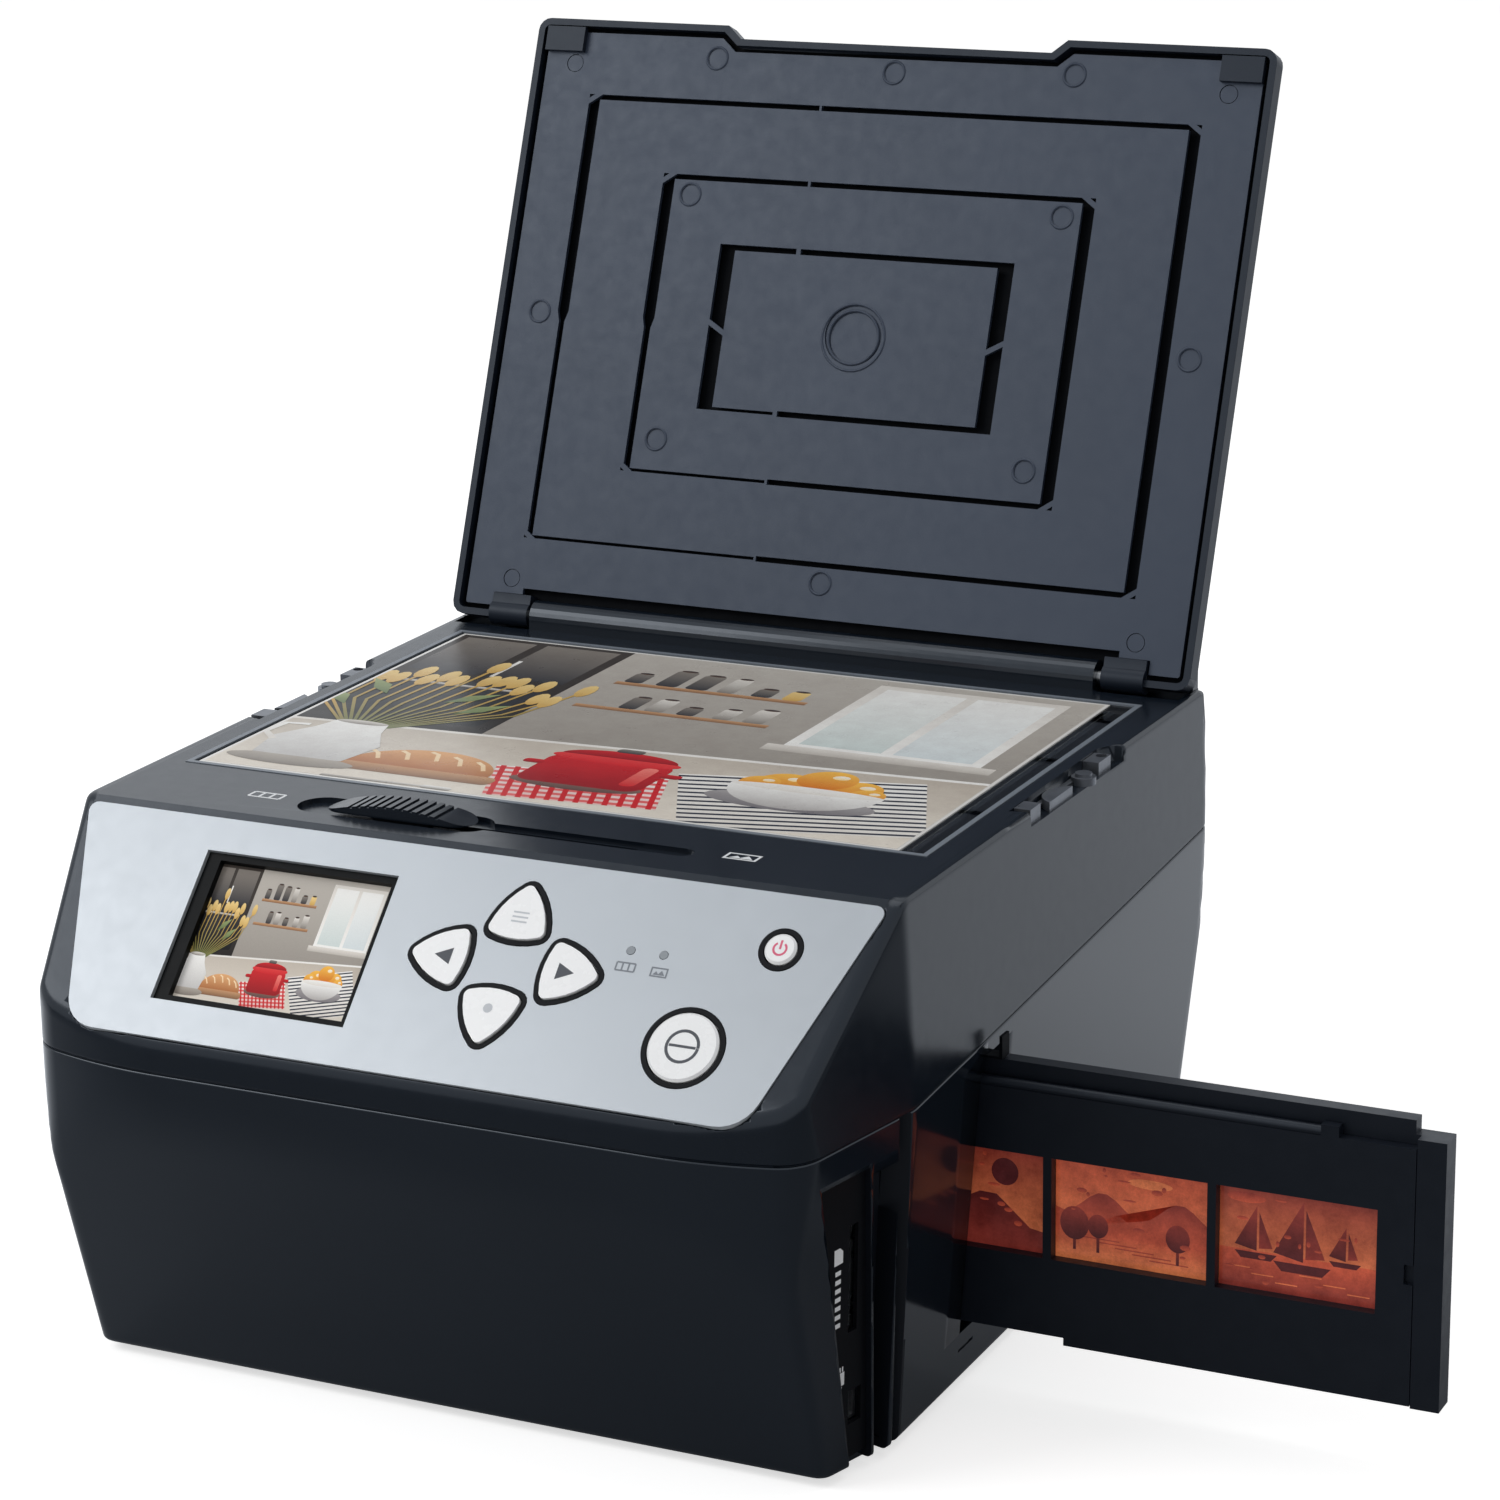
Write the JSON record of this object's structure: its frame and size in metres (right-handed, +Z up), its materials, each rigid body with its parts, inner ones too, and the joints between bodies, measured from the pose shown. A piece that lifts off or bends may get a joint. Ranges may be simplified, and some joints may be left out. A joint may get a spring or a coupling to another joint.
{
  "type": "film and photo scanner",
  "caption": "Desktop scanner for film strips and prints: sloped silver control panel with a screen and keys, hinged platen lid, selector knob and a film holder that slides through the case.",
  "frame": {"origin": "middle of the four feet's outline, on the desk", "axes": "+X to the user's right along the way of the film holder, +Y to the back, +Z up from the desk"},
  "size_m": [0.3131, 0.2743, 0.2773],
  "materials": {
    "case_plastic": "smooth matte dark blue-grey housing plastic",
    "case_dark": "dark grey housing plastic with a slight sheen",
    "silver_panel": "satin silver paint with a fine grain",
    "black_plastic": "black moulded plastic",
    "black_gloss": "glossy black plastic",
    "white_plastic": "white diffusing plastic",
    "key_white": "glossy white key caps",
    "clear_plastic": "clear light-pipe plastic",
    "foot_rubber": "black rubber",
    "steel": "plated steel",
    "board": "green printed circuit board",
    "ribbon": "amber flat flexible cable",
    "glass": "clear polished glass",
    "screen_glass": "display window glass",
    "mirror": "front-silvered mirror",
    "light_trim": "light grey trim",
    "print_paper": "glossy photographic paper",
    "holder_plastic": "near-black fine-textured plastic",
    "film": "orange-red processed negative film"
  },
  "bodies": {
    "case": {"upper_case": "case_plastic", "lower_case": "case_dark", "feet": "foot_rubber", "case_screws": "steel", "control_panel": "silver_panel", "key_surround": "black_plastic", "screen_bezel": "black_gloss", "screen_module": "screen_glass", "key_board": "board", "key_switches": "black_plastic", "status_leds": "clear_plastic", "board_standoffs": "steel", "platen_glass": "glass", "platen_frame": "light_trim", "hinge_block": "case_dark", "hinge_screws": "steel", "hinge_pins": "steel", "edge_clips": "steel", "clip_screws": "steel", "socket_panel": "black_plastic", "socket_board": "board", "card_socket": "steel", "usb_socket": "steel", "main_board": "board", "board_parts": "black_plastic", "board_screws": "steel", "camera_bracket": "black_plastic", "camera_board": "board", "camera_barrel": "black_plastic", "camera_lens": "glass", "guide_rods": "steel", "rod_brackets": "black_plastic", "light_box": "white_plastic", "light_board": "white_plastic", "light_diffuser": "white_plastic", "film_gate": "black_plastic", "holder_guides": "black_plastic", "holder_spring": "steel", "bracket_screws": "steel", "print_lamps": "white_plastic", "screen_ribbon": "ribbon", "camera_ribbon": "ribbon", "photo_print": "print_paper"},
    "lid": {"lid_cover": "case_plastic", "lid_inner": "case_plastic", "lid_pads": "foot_rubber", "lid_screws": "black_plastic"},
    "film_holder": {"holder_base": "holder_plastic", "holder_cover": "holder_plastic", "film_strip": "film"},
    "selector": {"selector_knob": "case_plastic", "mirror_carriage": "black_plastic", "folding_mirror": "mirror"},
    "key_up_cap": {"key_up": "key_white"},
    "key_down_cap": {"key_down": "key_white"},
    "key_left_cap": {"key_left": "key_white"},
    "key_right_cap": {"key_right": "key_white"},
    "key_power_cap": {"key_power": "key_white"},
    "key_start_cap": {"key_start": "key_white"}
  },
  "joints": [
    {"name": "lid_hinge", "type": "hinge", "parent": "case", "child": "lid", "pos_m": [0, 0.0954, 0.13], "axis": [1, 0, 0], "range_deg": [0, 111.4]},
    {"name": "holder_slide", "type": "slide", "parent": "case", "child": "film_holder", "axis": [1, 0, 0], "range_m": [-0.19, 0.1]},
    {"name": "selector_slide", "type": "slide", "parent": "case", "child": "selector", "axis": [1, 0, 0], "range_m": [0, 0.05]},
    {"name": "key_up_press", "type": "slide", "parent": "case", "child": "key_up_cap", "axis": [0, 0.7114, -0.7028], "range_m": [0, 0.0008], "stiffness_N_per_m": 800, "springref_m": -0.0004},
    {"name": "key_down_press", "type": "slide", "parent": "case", "child": "key_down_cap", "axis": [0, 0.7114, -0.7028], "range_m": [0, 0.0008], "stiffness_N_per_m": 800, "springref_m": -0.0004},
    {"name": "key_left_press", "type": "slide", "parent": "case", "child": "key_left_cap", "axis": [0, 0.7114, -0.7028], "range_m": [0, 0.0008], "stiffness_N_per_m": 800, "springref_m": -0.0004},
    {"name": "key_right_press", "type": "slide", "parent": "case", "child": "key_right_cap", "axis": [0, 0.7114, -0.7028], "range_m": [0, 0.0008], "stiffness_N_per_m": 800, "springref_m": -0.0004},
    {"name": "key_power_press", "type": "slide", "parent": "case", "child": "key_power_cap", "axis": [0, 0.7114, -0.7028], "range_m": [0, 0.0008], "stiffness_N_per_m": 800, "springref_m": -0.0004},
    {"name": "key_start_press", "type": "slide", "parent": "case", "child": "key_start_cap", "axis": [0, 0.7114, -0.7028], "range_m": [0, 0.0008], "stiffness_N_per_m": 800, "springref_m": -0.0004}
  ]
}
